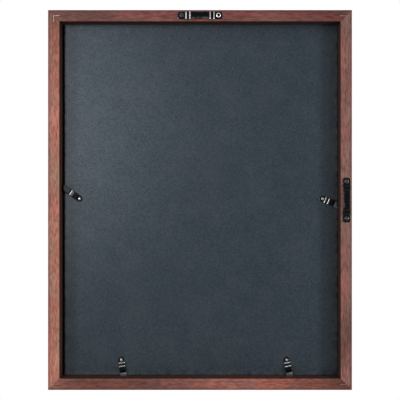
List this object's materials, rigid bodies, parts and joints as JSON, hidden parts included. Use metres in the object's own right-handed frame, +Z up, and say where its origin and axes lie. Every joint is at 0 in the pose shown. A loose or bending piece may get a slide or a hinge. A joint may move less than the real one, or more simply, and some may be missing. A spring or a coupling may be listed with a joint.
{
  "type": "coin display frame",
  "caption": "Wall-hung wooden display frame with a glass front, a coin tray and a backing board held by spring clips that turn into a groove in the rails.",
  "frame": {"origin": "where a nail carries the frame: the middle notch of the top hanger, in the plane of the rails' back faces", "axes": "+Z up the frame, +Y out of its back towards the wall, +X to the right as seen from the front"},
  "size_m": [0.3048, 0.0344, 0.381],
  "materials": {
    "stained_wood": "reddish brown stain, semi-matte, fine grain along each rail",
    "board_paper": "black pebbled paper over fibreboard, dull sheen",
    "tray_velvet": "black flocked velvet",
    "glass": "clear, polished",
    "black_spring_steel": "blackened spring steel, glossy at its bends",
    "black_hanger_steel": "black plated steel, glossy at its bends",
    "nail_steel": "bare steel strip, sawn edge"
  },
  "bodies": {
    "frame": {"top_rail": "stained_wood", "bottom_rail": "stained_wood", "left_rail": "stained_wood", "right_rail": "stained_wood", "v_nail_bottom_left_1": "nail_steel", "v_nail_bottom_left_2": "nail_steel", "v_nail_top_left_1": "nail_steel", "v_nail_top_left_2": "nail_steel", "v_nail_top_right_1": "nail_steel", "v_nail_top_right_2": "nail_steel", "v_nail_bottom_right_1": "nail_steel", "v_nail_bottom_right_2": "nail_steel", "glass_pane": "glass", "coin_tray_face": "tray_velvet", "coin_tray_base": "tray_velvet", "backing_board": "board_paper", "clip_rivet_left": "black_spring_steel", "clip_rivet_right": "black_spring_steel", "clip_rivet_bottom_right": "black_spring_steel", "clip_rivet_bottom_left": "black_spring_steel", "top_hanger": "black_hanger_steel", "side_hanger": "black_hanger_steel", "top_hanger_screw_1": "black_hanger_steel", "top_hanger_screw_2": "black_hanger_steel", "side_hanger_screw_1": "black_hanger_steel", "side_hanger_screw_2": "black_hanger_steel"},
    "clip_left": {"spring_clip_left": "black_spring_steel"},
    "clip_right": {"spring_clip_right": "black_spring_steel"},
    "clip_bottom_right": {"spring_clip_bottom_right": "black_spring_steel"},
    "clip_bottom_left": {"spring_clip_bottom_left": "black_spring_steel"}
  },
  "joints": [
    {"name": "clip_left_turn", "type": "hinge", "parent": "frame", "child": "clip_left", "pos_m": [-0.125, -0.013, -0.1812], "axis": [0, 1, 0], "continuous": true},
    {"name": "clip_right_turn", "type": "hinge", "parent": "frame", "child": "clip_right", "pos_m": [0.1228, -0.013, -0.1812], "axis": [0, 1, 0], "continuous": true},
    {"name": "clip_bottom_right_turn", "type": "hinge", "parent": "frame", "child": "clip_bottom_right", "pos_m": [0.0802, -0.013, -0.3455], "axis": [0, 1, 0], "continuous": true},
    {"name": "clip_bottom_left_turn", "type": "hinge", "parent": "frame", "child": "clip_bottom_left", "pos_m": [-0.0884, -0.013, -0.3455], "axis": [0, 1, 0], "continuous": true}
  ]
}
